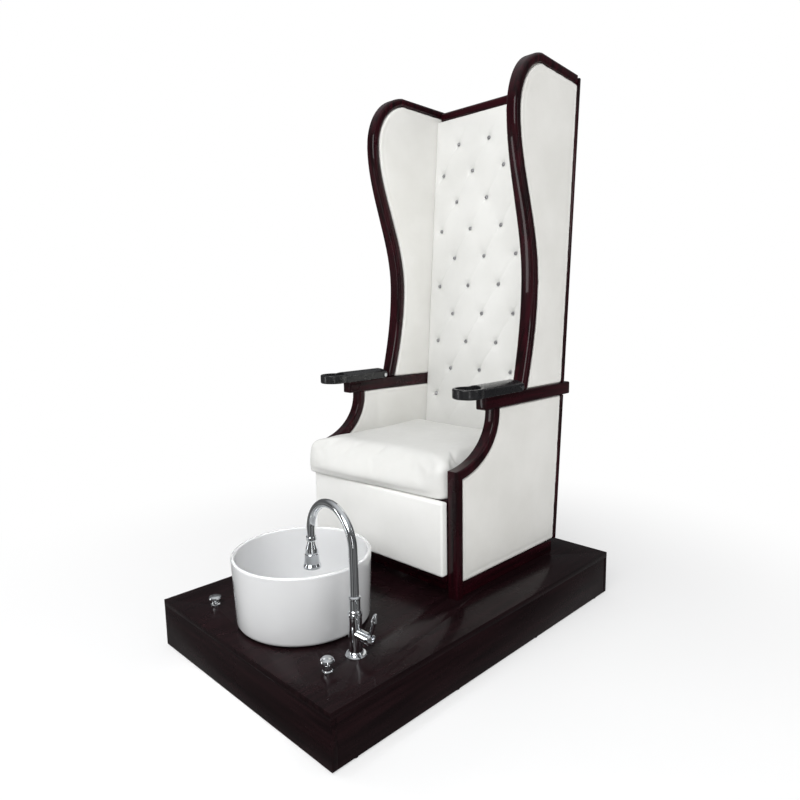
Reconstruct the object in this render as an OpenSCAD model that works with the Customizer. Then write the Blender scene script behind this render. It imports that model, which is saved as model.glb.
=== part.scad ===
// Pedicure spa chair: a tall winged chair on a wooden platform, with a round foot basin,
// a gooseneck faucet and two flip-up arm trays.
// Origin: on the floor under the middle of the whole chair. +X right seen from the front,
// +Y to the back, +Z up. All sizes in millimetres.

/* [Platform] */
// Width of the platform
platform_w = 816; // [780:1:900]
// Length of the platform, front to back
platform_l = 1270; // [1250:1:1400]
// Sideways place of the platform's centre, so that the trays reach equally far each way
platform_x = 14; // [0:1:20]
// Height of the platform's top above the floor
platform_h = 151; // [140:1:170]
// Thickness of the platform's boards
board_t = 18; // [15:1:22]
// Height of the nylon glides under the platform
glide_h = 4; // [3:1:6]

/* [Chair] */
// Overall width of the chair across its side frames
chair_w = 672; // [640:1:680]
// Sideways place of the chair's centre on the platform
chair_x = -58; // [-58:1:0]
// Width of a side frame member, across the chair
frame_w = 40; // [34:1:46]
// Thickness of a side frame member, seen from the side
frame_t = 31; // [26:1:34]
// Front face of the front posts
post_y = -24; // [-30:1:-10]
// Height where the front post ends and the arm curve begins
kink_z = 551; // [540:1:560]
// Underside of the arm rail
rail_z = 717; // [710:1:722]
// Height of the arm rail's section
rail_h = 43; // [38:1:46]
// Front end of the arm rail
rail_front = 115; // [105:1:140]
// Back end of the arm rail
rail_back = 604; // [594:1:610]
// Rear face of the back board at the height of the chair's underside
back_foot = 528; // [520:1:535]
// Lean of the back from upright, in degrees
recline = 3.86; // [3:0.1:5]
// Highest point of the wings
wing_top = 1814; // [1790:1:1830]

/* [Seat] */
// Underside of the seat cushion
seat_z = 455; // [440:1:470]
// Thickness of the seat cushion
cushion_t = 127; // [100:1:135]
// How far the seat cushion stands in front of the posts
cushion_out = 44; // [30:1:60]
// How far the padded front panel stands in front of the posts
panel_out = 28; // [20:1:40]

/* [Basin] */
// Sideways place of the basin's centre
basin_x = 7; // [-40:1:20]
// Front-to-back place of the basin's centre
basin_y = -395; // [-405:1:-370]
// Outer radius at the rim
basin_r = 200; // [180:1:205]
// Height of the basin
basin_h = 197; // [170:1:205]
// Thickness of the ceramic wall
basin_wall = 11; // [8:1:14]

/* [Faucet] */
// Sideways place of the faucet
faucet_x = 279; // [255:1:310]
// Front-to-back place of the faucet
faucet_y = -433; // [-450:1:-400]
// Radius of the gooseneck's arch at the tube's middle
arch_r = 99; // [90:1:110]
// Height above the deck where the arch begins
arch_h = 281; // [260:1:300]
// Outer radius of the gooseneck tube
tube_r = 12; // [10:1:13]
// Direction of the spout, turned from straight left
spout_turn = 5.2; // [0:0.1:15]

/* [Trays] */
// Width of an arm tray
tray_w = 78; // [70:1:84]
// Outer radius of the cup holder
cup_r = 48; // [42:1:52]
// Front-to-back place of the cup holder's centre
cup_y = 54; // [48:1:60]
// Front-to-back place of the tray's hinge pin
hinge_y = 280; // [270:1:284]

/* [Hidden] */
$fn = 64;

wood = "#2a0e0c";
lacquer = "#1b0c0c";
pine = "#c9a26c";
leather = "#f2f0ec";
chrome = "#c9cdd2";
ceramic = "#f7f7f5";
black_gloss = "#141416";
rubber = "#222222";
brass = "#b08a3c";
plastic_grey = "#8a8d90";

gap = 0.3;                           // clearance between neighbouring soft pieces
deck_z = platform_h;                 // the surface that everything stands on
deck_under = platform_h - board_t;
deck_left = platform_x - platform_w / 2;
deck_right = platform_x + platform_w / 2;
half_l = platform_l / 2;
side_inset = 3;                      // outer panels lie this far inside the frame's face
core_t = 16;                         // thickness of the core boards in the chair's sides
side_z = 198;                        // underside of the chair's side panels
rail_top = rail_z + rail_h;
right_x = chair_x + chair_w / 2 - frame_w;   // inner faces of the two side frames
left_x = chair_x - chair_w / 2 + frame_w;
gap_w = right_x - left_x;            // clear width between the side frames
turn_y = 255;                        // from here back the inner side faces turn inward
turn = 0.13;                         // how far they come in per millimetre

// ---- curves -------------------------------------------------------------------------

function unit(v) = v / norm(v);
// Four-point Bezier curve, without its first point
function bezier(p, n) = [for (i = [1:n]) let (t = i / n, s = 1 - t)
    s * s * s * p[0] + 3 * s * s * t * p[1] + 3 * s * t * t * p[2] + t * t * t * p[3]];
// Stretch of an ellipse about centre c with half-axes a and b
function ellipse(c, a, b, from, to, n) = [for (i = [0:n]) let (q = from + (to - from) * i / n)
    [c[0] + a * cos(q), c[1] + b * sin(q)]];
// A path moved sideways by d, to the right of its direction of travel
function shift_path(p, d) = [for (i = [0:len(p) - 1])
    let (q = unit(p[min(i + 1, len(p) - 1)] - p[max(i - 1, 0)])) p[i] + d * [q[1], -q[0]]];
function backwards(p) = [for (i = [len(p) - 1:-1:0]) p[i]];

// Draws a side view, [y, z] points, as a slab w wide from x0
module slab(x0, w) translate([x0, 0, 0]) rotate([90, 0, 90]) linear_extrude(w) children();
// Rounded bar along Z, from a list of [radius, height] points
module turned(p) rotate_extrude() polygon(p);
module hex(across, h) cylinder(r = across / sqrt(3), h = h, $fn = 6);
module on_basin() translate([basin_x, basin_y, deck_z]) children();
module at_faucet() translate([faucet_x, faucet_y, deck_z]) children();
module at_spout() at_faucet() rotate([0, 0, 180 - spout_turn]) children();
// Puts a shape on the leaning back: local Z runs up the back, local Y = 0 is its rear face
module leaning() translate([0, back_foot, side_z]) rotate([-recline, 0, 0]) children();
module per_side() for (x0 = [right_x, left_x - frame_w]) translate([x0, 0, 0]) children();
// The room between the two inner side faces, kept clear of them, seen from above
module between_sides(clear) linear_extrude(2000) polygon([
    [left_x + clear, -200], [left_x + clear, turn_y], [left_x + clear + turn * 500, turn_y + 500],
    [right_x - clear - turn * 500, turn_y + 500], [right_x - clear, turn_y],
    [right_x - clear, -200]]);
// A slab that reaches from one outer face in as far as the inner side face
inner_reach = 60;
module to_inner_face(right, outer, clear) difference() {
    slab(right ? right_x - inner_reach : left_x - outer, inner_reach + outer) children();
    between_sides(-clear);
}

// ---- side view of the chair ---------------------------------------------------------

board_back = 12;                     // thickness of the back board
arm_c = [post_y - 14, rail_z - 12];  // centre of the concave arm curve
arm_a = 197;
arm_b = arm_c[1] - kink_z + 0.4;
function arm_curve(grow) = let (a = arm_a + grow, b = arm_b + grow,
    y0 = post_y + grow, q0 = acos((y0 - arm_c[0]) / a))
    ellipse(arm_c, a, b, -q0, 0, 20);
function back_front(z) = back_foot + (z - side_z) * tan(recline) - board_back / cos(recline);

// Front edge of the wing: flared foot, waist, forward ear, then the sloping top
wing_foot = [300, rail_top - 38];
wing_waist = [369, 1115];
wing_ear = [261, 1622];
wing_peak = [422, wing_top];
wing_slope = 0.096;
wing_path = concat([wing_foot],
    bezier([wing_foot, [341, 860], [wing_waist[0], 985], wing_waist], 14),
    bezier([wing_waist, [wing_waist[0], 1290], [wing_ear[0], 1450], wing_ear], 18),
    ellipse([wing_peak[0], wing_ear[1]], wing_peak[0] - wing_ear[0],
        wing_top - wing_ear[1], 171, 96, 15),
    [[wing_peak[0] + 275, wing_top - 275 * wing_slope]]);

module front_of_back(z0, z1, clear) polygon([[-200, z0], [back_front(z0) - clear, z0],
    [back_front(z1) - clear, z1], [-200, z1]]);
module wing_ribbon() intersection() {
    polygon(concat(wing_path, backwards(shift_path(wing_path, frame_t))));
    front_of_back(rail_top, 1900, 0);
}
module wing_field(clear) intersection() {
    polygon(concat(shift_path(wing_path, frame_t + clear), [[720, 600], [330, 600]]));
    front_of_back(rail_top + clear, 1900, clear);
}
module arm_ribbon() polygon(concat([[post_y, deck_z]], arm_curve(0),
    [[arm_c[0] + arm_a, rail_z], [arm_c[0] + arm_a + frame_t, rail_z]],
    backwards(arm_curve(frame_t)), [[post_y + frame_t, deck_z]]));
module arm_field(z0, clear) intersection() {
    polygon(concat([[post_y + frame_t + clear, z0]], arm_curve(frame_t + clear),
        [[arm_c[0] + arm_a + frame_t + clear, rail_z - clear], [700, rail_z - clear],
         [700, z0]]));
    front_of_back(z0, rail_z, clear);
}

// ---- platform -----------------------------------------------------------------------

bolt_r = 4;
bolt_places = [for (x = [left_x + 12, right_x - 12], y = [120, 400]) [x, y]];
knob_place = [286, -533];
button_place = [-248, -540];
drain_r = 22;                        // outer radius of the drain's threaded tube
port_place = [basin_x, 47];          // hose port in the back board, [x, z]
port_r = 32;

module drill(place, r) translate([place[0], place[1], deck_under - 1])
    cylinder(r = r, h = board_t + 2);

module platform_deck() color(lacquer) difference() {
    translate([deck_left, -half_l, deck_under]) cube([platform_w, platform_l, board_t]);
    drill([faucet_x, faucet_y], 17);
    drill([basin_x, basin_y], 30);
    drill(knob_place, 8.5);
    drill(button_place, 8.5);
    for (p = bolt_places) drill(p, bolt_r + 0.5);
}

module end_board(y0) translate([deck_left, y0, glide_h])
    cube([platform_w, board_t, deck_under - glide_h]);
module side_board(x0) translate([x0, -half_l + board_t, glide_h])
    cube([board_t, platform_l - 2 * board_t, deck_under - glide_h]);

module platform_front_board() color(lacquer) end_board(-half_l);
module platform_back_board() color(lacquer) difference() {
    end_board(half_l - board_t);
    translate([port_place[0], half_l + 1, port_place[1]]) rotate([90, 0, 0])
        cylinder(r = port_r, h = board_t + 2);
}
module platform_left_board() color(lacquer) side_board(deck_left);
module platform_right_board() color(lacquer) side_board(deck_right - board_t);

// Three joists, notched for the drain hose on its way to the port
module platform_joists() color(pine) for (y = [-120, 155, 430]) difference() {
    translate([deck_left + board_t, y, deck_under - 95])
        cube([platform_w - 2 * board_t, board_t, 95]);
    translate([port_place[0], y - 1, port_place[1]]) rotate([-90, 0, 0])
        cylinder(r = port_r, h = board_t + 2);
}

module platform_glides() color(rubber)
    for (x = [deck_left + board_t / 2, deck_right - board_t / 2], y = [-560, -190, 190, 560])
        translate([x, y, 0]) turned([[0, 0], [6, 0], [8, 1], [8, glide_h], [0, glide_h]]);

module hose_grommet() color(rubber)
    translate([port_place[0], half_l, port_place[1]]) rotate([90, 0, 0]) turned([
        [25, -4], [36, -4], [38, -2], [38, 0], [port_r, 0], [port_r, board_t],
        [38, board_t], [38, board_t + 2], [36, board_t + 4], [25, board_t + 4]]);

// ---- basin and drain ----------------------------------------------------------------

gasket_t = 2;
floor_t = 14;                        // thickness of the basin's floor at the wall
drain_bore = 17.5;
stopper_lift = 8;

module basin() color(ceramic) on_basin() translate([0, 0, gasket_t]) {
    foot_r = basin_r - 7;
    turned(concat(
        [[24, 0], [foot_r - 13, 0]],
        ellipse([foot_r - 13, 13], 13, 13, -90, 0, 8),
        ellipse([basin_r - 4, basin_h - 4], 4, 4, 0, 90, 4),
        ellipse([basin_r - basin_wall + 4, basin_h - 4], 4, 4, 90, 180, 4),
        ellipse([foot_r - basin_wall - 30, floor_t + 30], 30, 30, 0, -90, 8),
        [[34, floor_t - 3], [33, floor_t - 5], [24, floor_t - 5]]));
}

module basin_gasket() color(rubber) on_basin() difference() {
    cylinder(r = basin_r - 45, h = gasket_t);
    translate([0, 0, -1]) cylinder(r = 31, h = gasket_t + 2);
}

// Height of the drain flange's lip above the deck
lip_z = gasket_t + floor_t - 5;
module drain_flange() color(chrome) on_basin() turned([
    [drain_bore, -60], [drain_r, -60], [drain_r, lip_z], [32.5, lip_z], [31, lip_z + 2],
    [21, lip_z + 2], [19.5, lip_z - 1], [drain_bore, lip_z - 3]]);

module drain_locknut() color(plastic_grey) on_basin() translate([0, 0, -board_t - 14])
    difference() {
        union() { hex(62, 10); translate([0, 0, 10]) cylinder(r = 38, h = 4); }
        translate([0, 0, -1]) cylinder(r = drain_r, h = 16);
    }

trap_top = -58;                      // below the deck's top
module drain_trap() color(plastic_grey) on_basin() translate([0, 0, trap_top]) difference() {
    union() {
        translate([0, 0, -70]) cylinder(r = 32, h = 70);
        translate([0, 0, -8]) cylinder(r = 36, h = 14);
        translate([0, 20, -46]) rotate([-90, 0, 0]) {
            cylinder(r = 20, h = 16);
            cylinder(r = 16, h = 62);
        }
    }
    translate([0, 0, -66]) cylinder(r = 28, h = 63);
    translate([0, 0, -4]) cylinder(r = drain_r, h = 20);
    translate([0, 18, -46]) rotate([-90, 0, 0]) cylinder(r = 13, h = 70);
}

module drain_stopper() color(chrome) on_basin() translate([0, 0, lip_z + stopper_lift]) {
    turned([[0, -50], [3, -50], [3, -2], [17.6, -2], [19.3, 0],
        [19.3, 2.5], [12, 5], [0, 6]]);
    translate([0, 0, -50]) for (q = [0, 120, 240]) rotate([0, 0, q])
        translate([0, -1, 0]) cube([drain_bore - 0.6, 2, 34]);
}

module drain_knob_escutcheon() color(chrome) translate([knob_place[0], knob_place[1], deck_z])
    turned([[4.05, -46], [8, -46], [8, 0], [14, 0], [14, 2.5], [11.5, 5], [10, 18],
            [8.5, 20], [4.05, 20]]);
module drain_knob() color(chrome) translate([knob_place[0], knob_place[1], deck_z])
    turned([[0, -52], [4, -52], [4, 21], [8, 21.5], [17.5, 25], [18.5, 27.5], [17, 32],
            [12, 36], [6, 37.6], [0, 38]]);

module air_button_bezel() color(chrome)
    translate([button_place[0], button_place[1], deck_z]) turned([
        [4.05, -40], [8, -40], [8, 0], [15, 0], [15, 2], [12, 4.5], [10.5, 9.5], [4.05, 9.5]]);
module air_button() color(chrome) translate([button_place[0], button_place[1], deck_z])
    turned([[0, -46], [4, -46], [4, 15.8], [10, 16.2], [18.5, 18], [19.5, 20.5], [18, 24],
            [11, 27], [0, 28]]);

module control_locknuts() color(brass) for (p = [knob_place, button_place])
    translate([p[0], p[1], deck_under - 8]) difference() {
        hex(26, 8);
        translate([0, 0, -1]) cylinder(r = 8, h = 10);
    }

// Cable sheath from the drain knob down, round one bend, and across to the trap
cable_r = 4;
cable_bend = 25;
cable_z = -78;                       // height of the level run, from the deck's top
module drain_cable() color(rubber) {
    reach = [basin_x - knob_place[0], basin_y - knob_place[1]];
    run = norm(reach) - 32;
    translate([knob_place[0], knob_place[1], deck_z])
        rotate([0, 0, atan2(reach[1], reach[0])]) {
            translate([cable_bend, 0, cable_z + cable_bend]) rotate([90, 0, 0])
                rotate([0, 0, 180]) rotate_extrude(angle = 90) translate([cable_bend, 0])
                    circle(cable_r);
            translate([cable_bend, 0, cable_z]) rotate([0, 90, 0])
                cylinder(r = cable_r, h = run - cable_bend);
        }
}

// ---- faucet -------------------------------------------------------------------------

body_r = 18;
body_top = 116;
hub_z = 61;                          // height of the lever's hub above the deck
hub_r = 14;
hub_end = 46;                        // where the fixed hub ends, from the faucet's axis
spout_fit = 14;                      // bore that the gooseneck turns in

module faucet_flange() color(chrome) at_faucet() turned([
    [17.2, 0], [29, 0], [29, 2], [26, 5], [20, 6], [17.2, 6]]);

module faucet_body() color(chrome) at_faucet() difference() {
    union() {
        turned([[0, -70], [16.5, -70], [16.5, 0], [17, 0], [17, 6], [20, 6], [20, 9],
                [body_r, 12], [body_r, 104], [19, 106], [19, body_top - 2],
                [18, body_top], [0, body_top]]);
        translate([0, 0, hub_z]) rotate([0, 90, 0]) cylinder(r = hub_r, h = hub_end);
    }
    translate([0, 0, 84]) cylinder(r = spout_fit, h = body_top);
    translate([hub_end - 12, 0, hub_z]) rotate([0, 90, 0]) cylinder(r = 9, h = 20);
    for (y = [-7.5, 7.5]) translate([0, y, -71]) cylinder(r = 5, h = 21);
}

module faucet_locknut() color(brass) at_faucet() translate([0, 0, -board_t - 12])
    difference() {
        union() { hex(44, 9); translate([0, 0, 9]) cylinder(r = 27, h = 3); }
        translate([0, 0, -1]) cylinder(r = 16.5, h = 14);
    }

module faucet_inlets() color(brass) at_faucet() for (y = [-7.5, 7.5])
    translate([0, y, -100]) difference() {
        union() {
            cylinder(r = 4, h = 50);
            translate([0, 0, 22]) cylinder(r = 6, h = 8);
        }
        translate([0, 0, -1]) cylinder(r = 2.5, h = 50);
    }

module tube_ring() difference() { circle(tube_r); circle(tube_r - 2.5); }
leg_end = arch_h - 15;               // where the gooseneck ends and the spray head begins
module faucet_spout() color(chrome) at_spout() {
    turned([[tube_r - 2.5, 86], [spout_fit - 0.05, 86], [spout_fit - 0.05, body_top + 0.3],
            [17, body_top + 0.3], [17, 121], [15, 124], [15, 152], [16, 154], [16, 158],
            [tube_r, 161], [tube_r, arch_h], [tube_r - 2.5, arch_h]]);
    translate([arch_r, 0, arch_h]) rotate([90, 0, 0]) rotate_extrude(angle = 180)
        translate([arch_r, 0]) tube_ring();
    translate([2 * arch_r, 0, leg_end]) linear_extrude(arch_h - leg_end) tube_ring();
}

head_h = 91;                         // length of the spray head
hose_r = 5;
module at_head() at_spout() translate([2 * arch_r, 0, leg_end - 0.3 - head_h]) children();
module spray_head() color(chrome) at_head() turned([
    [hose_r, head_h], [13.5, head_h], [14.5, head_h - 2], [14.5, head_h - 10],
    [11.5, head_h - 12], [10.5, 76], [13, 68], [17, 56], [18.5, 46], [18.8, 42], [20, 40],
    [20.5, 28], [21.5, 14], [25, 7], [25, 2], [24, 0], [21, 0], [21, 4],
    [hose_r, 4]]);
module spray_face() color(rubber) at_head() {
    translate([0, 0, 0.8]) cylinder(r = 20.9, h = 3.1);
    for (ring = [[0, 1], [7, 6], [14, 12]], i = [0:ring[1] - 1])
        rotate([0, 0, i * 360 / ring[1]]) translate([ring[0], 0, -0.6])
            cylinder(r = 1.2, h = 1.5, $fn = 16);
}
module spray_hose() color(rubber) at_head() translate([0, 0, 4.3])
    cylinder(r = hose_r, h = head_h + 32);

module at_hub() at_faucet() translate([hub_end, 0, hub_z]) children();
lever_at = 10;                       // lever pivot, from the end of the fixed hub
module handle_dome() color(chrome) at_hub() difference() {
    union() {
        rotate([0, 90, 0]) turned([[0, -9], [8.9, -9], [8.9, 0.3], [14, 0.3], [14.5, 2],
            [14.5, 12], [13, 17], [9, 20], [0, 21]]);
    }
    translate([lever_at - 7, -4.2, -1]) cube([30, 8.4, 30]);
    translate([lever_at, 20, 0]) rotate([90, 0, 0]) cylinder(r = 6.4, h = 40);
}
lever_lean = 17;
module handle_lever() color(chrome) at_hub() translate([lever_at, 0, 0]) {
    rotate([90, 0, 0]) translate([0, 0, -14.3]) cylinder(r = 6.35, h = 28.6);
    rotate([0, lever_lean, 0]) turned([[0, 0], [3.9, 0], [3.9, 12], [4.3, 30], [4.6, 54],
        [6.4, 57], [6.4, 60], [5.6, 62], [5.2, 70], [2.4, 79], [0, 80]]);
}

// ---- chair structure ----------------------------------------------------------------

module chair_plinth() color(wood) {
    outer = [left_x - frame_w + 10, right_x + frame_w - 10];
    front = post_y + frame_t + 6;
    depth = back_front(side_z) - front - 2;
    difference() {
        translate([outer[0], front, deck_z])
            cube([outer[1] - outer[0], depth, side_z - deck_z]);
        translate([outer[0] + 52, front + 25, deck_z - 1])
            cube([outer[1] - outer[0] - 104, depth - 50, 60]);
        for (p = bolt_places) translate([p[0], p[1], deck_z - 1])
            cylinder(r = bolt_r + 0.5, h = 60);
    }
}

module chair_bolts() color(plastic_grey) for (p = bolt_places)
    translate([p[0], p[1], deck_under - 6]) {
        hex(13, 6);
        translate([0, 0, 5]) cylinder(r = bolt_r, h = side_z - deck_under - 1);
    }

module right_arm_post() color(wood) slab(right_x, frame_w) arm_ribbon();
module left_arm_post() color(wood) slab(left_x - frame_w, frame_w) arm_ribbon();

module arm_rail(right) to_inner_face(right, frame_w, 0)
    translate([rail_front, rail_z]) square([rail_back - rail_front, rail_h]);
module right_arm_rail() color(wood) arm_rail(true);
module left_arm_rail() color(wood) arm_rail(false);

module right_wing_frame() color(wood) to_inner_face(true, frame_w, 0) wing_ribbon();
module left_wing_frame() color(wood) to_inner_face(false, frame_w, 0) wing_ribbon();

// Two boards a side, under and over the arm rail, in the middle of the frame's width
module side_core_boards() color(pine) per_side() slab((frame_w - core_t) / 2, core_t) {
    arm_field(side_z, 0);
    wing_field(0);
}

// Padded skins on the core boards: outer ones stop short of the frame's face
skin = (frame_w - core_t) / 2;
module outer_skin(right) slab(right ? right_x + skin + core_t : left_x - frame_w + side_inset,
    skin - side_inset) children();
module inner_skin(right) to_inner_face(right, skin, 0) children();

module right_outer_arm_panel() color(leather) outer_skin(true) arm_field(side_z + gap, gap);
module left_outer_arm_panel() color(leather) outer_skin(false) arm_field(side_z + gap, gap);
module right_outer_wing_panel() color(leather) outer_skin(true) wing_field(gap);
module left_outer_wing_panel() color(leather) outer_skin(false) wing_field(gap);
module right_inner_arm_panel() color(leather) inner_skin(true) arm_field(seat_z, gap);
module left_inner_arm_panel() color(leather) inner_skin(false) arm_field(seat_z, gap);
module right_inner_wing_panel() color(leather) inner_skin(true) wing_field(gap);
module left_inner_wing_panel() color(leather) inner_skin(false) wing_field(gap);

// ---- seat ---------------------------------------------------------------------------

deck_board = 15;
box_back = back_front(side_z) - 22;
module seat_box() color(pine) difference() {
    translate([left_x, post_y, side_z])
        cube([gap_w, box_back - post_y, seat_z - deck_board - side_z]);
    translate([left_x + 18, post_y + 18, side_z - 1])
        cube([gap_w - 36, box_back - post_y - 36, 400]);
}
module seat_deck() color(pine) translate([left_x, post_y, seat_z - deck_board])
    cube([gap_w, box_back - post_y, deck_board]);
module seat_front_panel() color(leather) translate([left_x + 1, post_y - panel_out, side_z + 24])
    cube([gap_w - 2, panel_out - gap, seat_z - 26 - side_z]);
module seat_cushion() color(leather) intersection() {
    translate([left_x, post_y - cushion_out, seat_z + gap]) cube([gap_w, 550, cushion_t]);
    between_sides(1);
}

// ---- back ---------------------------------------------------------------------------

back_len = (1783 - side_z) / cos(recline);
crest_h = 38;
frame_depth = 20;
pad_depth = 30;
pad_front = board_back + frame_depth + pad_depth;

module back_board() color(wood) difference() {
    leaning() translate([left_x - frame_w, -board_back, 0])
        cube([chair_w, board_back, back_len]);
    for (right = [true, false]) to_inner_face(right, frame_w + 1, -0.2)
        translate([rail_front, rail_z - 0.2]) square([600, rail_h + 0.4]);
}

frame_inset = 48;                    // uprights of the back frame, in from the side frames
module back_frame() color(pine) leaning() translate([0, -board_back - frame_depth, 0]) {
    for (x0 = [left_x + frame_inset, right_x - frame_inset - 60]) translate([x0, 0, 0])
        cube([60, frame_depth, back_len - crest_h - 1]);
    for (z0 = [0, 380, 760, 1140, back_len - crest_h - 71])
        translate([left_x + frame_inset + 59, 0, z0])
            cube([gap_w - 2 * frame_inset - 118, frame_depth, 70]);
}

pad_foot = (seat_z + 4 - side_z) / cos(recline);
module back_pad() color(leather) intersection() {
    leaning() translate([left_x, -pad_front, pad_foot])
        cube([gap_w, pad_depth - gap, back_len - crest_h - 1 - pad_foot]);
    between_sides(gap);
}

module crest_rail() color(wood) intersection() {
    leaning() translate([left_x, -board_back - 34, back_len - crest_h])
        cube([gap_w, 34, crest_h]);
    between_sides(0);
}

// Crystal buttons in a diamond grid, every other row shifted by half a pitch
tuft_x = 143.3;
tuft_z = 107.5;
tuft_top = 1447;                     // first row, measured up the back
module tuft_buttons() color("#dfe6ee") leaning()
    for (row = [0:9], i = [-1.5:0.5:1.5])
        if ((row % 2 == 0) == (floor(i) == i))
            translate([chair_x + i * tuft_x, -pad_front, tuft_top - row * tuft_z])
                rotate([90, 0, 0]) turned([[0, 0], [7, 0], [7, 1.5], [4, 5], [0, 5]]);

// ---- trays --------------------------------------------------------------------------

pivot_z = rail_top + 13;
knuckle_r = 12;
plate_side = pivot_z + knuckle_r;    // height of the plate's long edges
crown = 12;                          // how much higher the plate is along its middle
crown_r = (tray_w * tray_w / 4 + crown * crown) / (2 * crown);
cup_z = rail_top + 1;
cup_h = 31;
pin_r = 4;

// Side view of the tray's plate, rounded about the hinge
module tray_plate() polygon(concat(
    ellipse([hinge_y, pivot_z], knuckle_r, knuckle_r, -90, 0, 8),
    ellipse([hinge_y, pivot_z], knuckle_r, knuckle_r + crown, 0, 90, 10),
    [[cup_y + 30, plate_side + crown], [cup_y + 30, pivot_z - knuckle_r]]));

module tray(x) difference() {
    union() {
        intersection() {
            slab(x - tray_w / 2, tray_w) tray_plate();
            translate([x, 0, plate_side + crown - crown_r]) rotate([-90, 0, 0])
                cylinder(r = crown_r, h = 400, $fn = 128);
        }
        translate([x, cup_y, cup_z]) turned([[0, 0], [cup_r - 3, 0], [cup_r, 3],
            [cup_r, cup_h - 2], [cup_r - 2, cup_h], [0, cup_h]]);
    }
    translate([x, cup_y, cup_z + 4]) cylinder(r = 39, h = 60);
    translate([x, cup_y, cup_z - 20]) cylinder(r = 6, h = 60);
    translate([x - 11, hinge_y - 10, pivot_z - 30]) cube([22, 60, 40]);
    translate([x - 50, hinge_y, pivot_z]) rotate([0, 90, 0]) cylinder(r = pin_r + 0.05, h = 100);
}
tray_right_x = right_x + frame_w / 2;
tray_left_x = left_x - frame_w / 2;
module right_tray() color(black_gloss) tray(tray_right_x);
module left_tray() color(black_gloss) tray(tray_left_x);

module tray_hinge_lugs() color(chrome) for (x = [tray_right_x, tray_left_x]) difference() {
    slab(x - 10, 20) polygon(concat([[hinge_y - 9, rail_top], [hinge_y - 9, pivot_z]],
        ellipse([hinge_y, pivot_z], 9, 9, 180, 0, 16), [[hinge_y + 9, rail_top]]));
    translate([x - 20, hinge_y, pivot_z]) rotate([0, 90, 0]) cylinder(r = pin_r, h = 40);
}

module tray_pins() color(chrome) for (x = [tray_right_x, tray_left_x])
    translate([x, hinge_y, pivot_z]) rotate([0, 90, 0]) {
        cylinder(r = pin_r, h = tray_w + 2, center = true);
        for (s = [-1, 1]) translate([0, 0, s * (tray_w / 2 + 2)])
            cylinder(r = 7, h = 3, center = true);
    }

platform_deck();
platform_front_board();
platform_back_board();
platform_left_board();
platform_right_board();
platform_joists();
platform_glides();
hose_grommet();
basin();
basin_gasket();
drain_flange();
drain_locknut();
drain_trap();
drain_stopper();
drain_knob();
drain_knob_escutcheon();
drain_cable();
air_button();
air_button_bezel();
control_locknuts();
faucet_flange();
faucet_body();
faucet_locknut();
faucet_inlets();
faucet_spout();
spray_head();
spray_face();
spray_hose();
handle_dome();
handle_lever();
chair_plinth();
chair_bolts();
right_arm_post();
left_arm_post();
right_arm_rail();
left_arm_rail();
right_wing_frame();
left_wing_frame();
side_core_boards();
right_outer_arm_panel();
left_outer_arm_panel();
right_outer_wing_panel();
left_outer_wing_panel();
right_inner_arm_panel();
left_inner_arm_panel();
right_inner_wing_panel();
left_inner_wing_panel();
seat_box();
seat_deck();
seat_front_panel();
seat_cushion();
back_board();
back_frame();
back_pad();
crest_rail();
tuft_buttons();
right_tray();
left_tray();
tray_hinge_lugs();
tray_pins();
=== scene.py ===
"""Looks of the pedicure spa chair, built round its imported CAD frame.

Units are metres, +Z is up and +Y is the back of the chair.
"""

import math

import bmesh
import bpy
import numpy as np
from mathutils import Matrix, Vector, noise

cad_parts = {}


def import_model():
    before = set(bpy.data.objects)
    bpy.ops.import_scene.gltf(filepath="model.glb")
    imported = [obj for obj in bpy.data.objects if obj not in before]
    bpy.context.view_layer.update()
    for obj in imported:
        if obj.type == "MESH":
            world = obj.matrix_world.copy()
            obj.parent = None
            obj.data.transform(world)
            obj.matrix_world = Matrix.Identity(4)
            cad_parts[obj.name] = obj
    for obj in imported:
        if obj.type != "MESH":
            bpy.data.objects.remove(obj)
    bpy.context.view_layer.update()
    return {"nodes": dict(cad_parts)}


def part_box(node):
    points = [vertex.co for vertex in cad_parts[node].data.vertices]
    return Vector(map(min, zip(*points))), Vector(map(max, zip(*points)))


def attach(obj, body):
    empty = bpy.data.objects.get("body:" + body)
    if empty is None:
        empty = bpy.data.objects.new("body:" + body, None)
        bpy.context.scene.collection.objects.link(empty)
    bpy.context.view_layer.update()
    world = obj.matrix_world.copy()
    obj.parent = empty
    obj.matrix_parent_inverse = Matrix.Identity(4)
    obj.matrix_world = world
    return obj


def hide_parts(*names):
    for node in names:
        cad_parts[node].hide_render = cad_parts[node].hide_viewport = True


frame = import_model()
MM = 0.001


# ---- small helpers --------------------------------------------------------------------

def link(obj):
    bpy.context.scene.collection.objects.link(obj)
    return obj


def mesh_piece(name, vertices, faces, smooth_angle=40):
    """A new mesh object whose edges sharper than smooth_angle stay crisp."""
    data = bpy.data.meshes.new(name)
    data.from_pydata([tuple(v) for v in vertices], [], [tuple(f) for f in faces])
    data.update()
    finish_shading(data, smooth_angle)
    return link(bpy.data.objects.new(name, data))


def finish_shading(data, smooth_angle=40):
    data.shade_smooth()
    data.set_sharp_from_angle(angle=math.radians(smooth_angle))


def piece_from_bmesh(name, bm, smooth_angle=40):
    data = bpy.data.meshes.new(name)
    bm.to_mesh(data)
    bm.free()
    finish_shading(data, smooth_angle)
    return link(bpy.data.objects.new(name, data))


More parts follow.
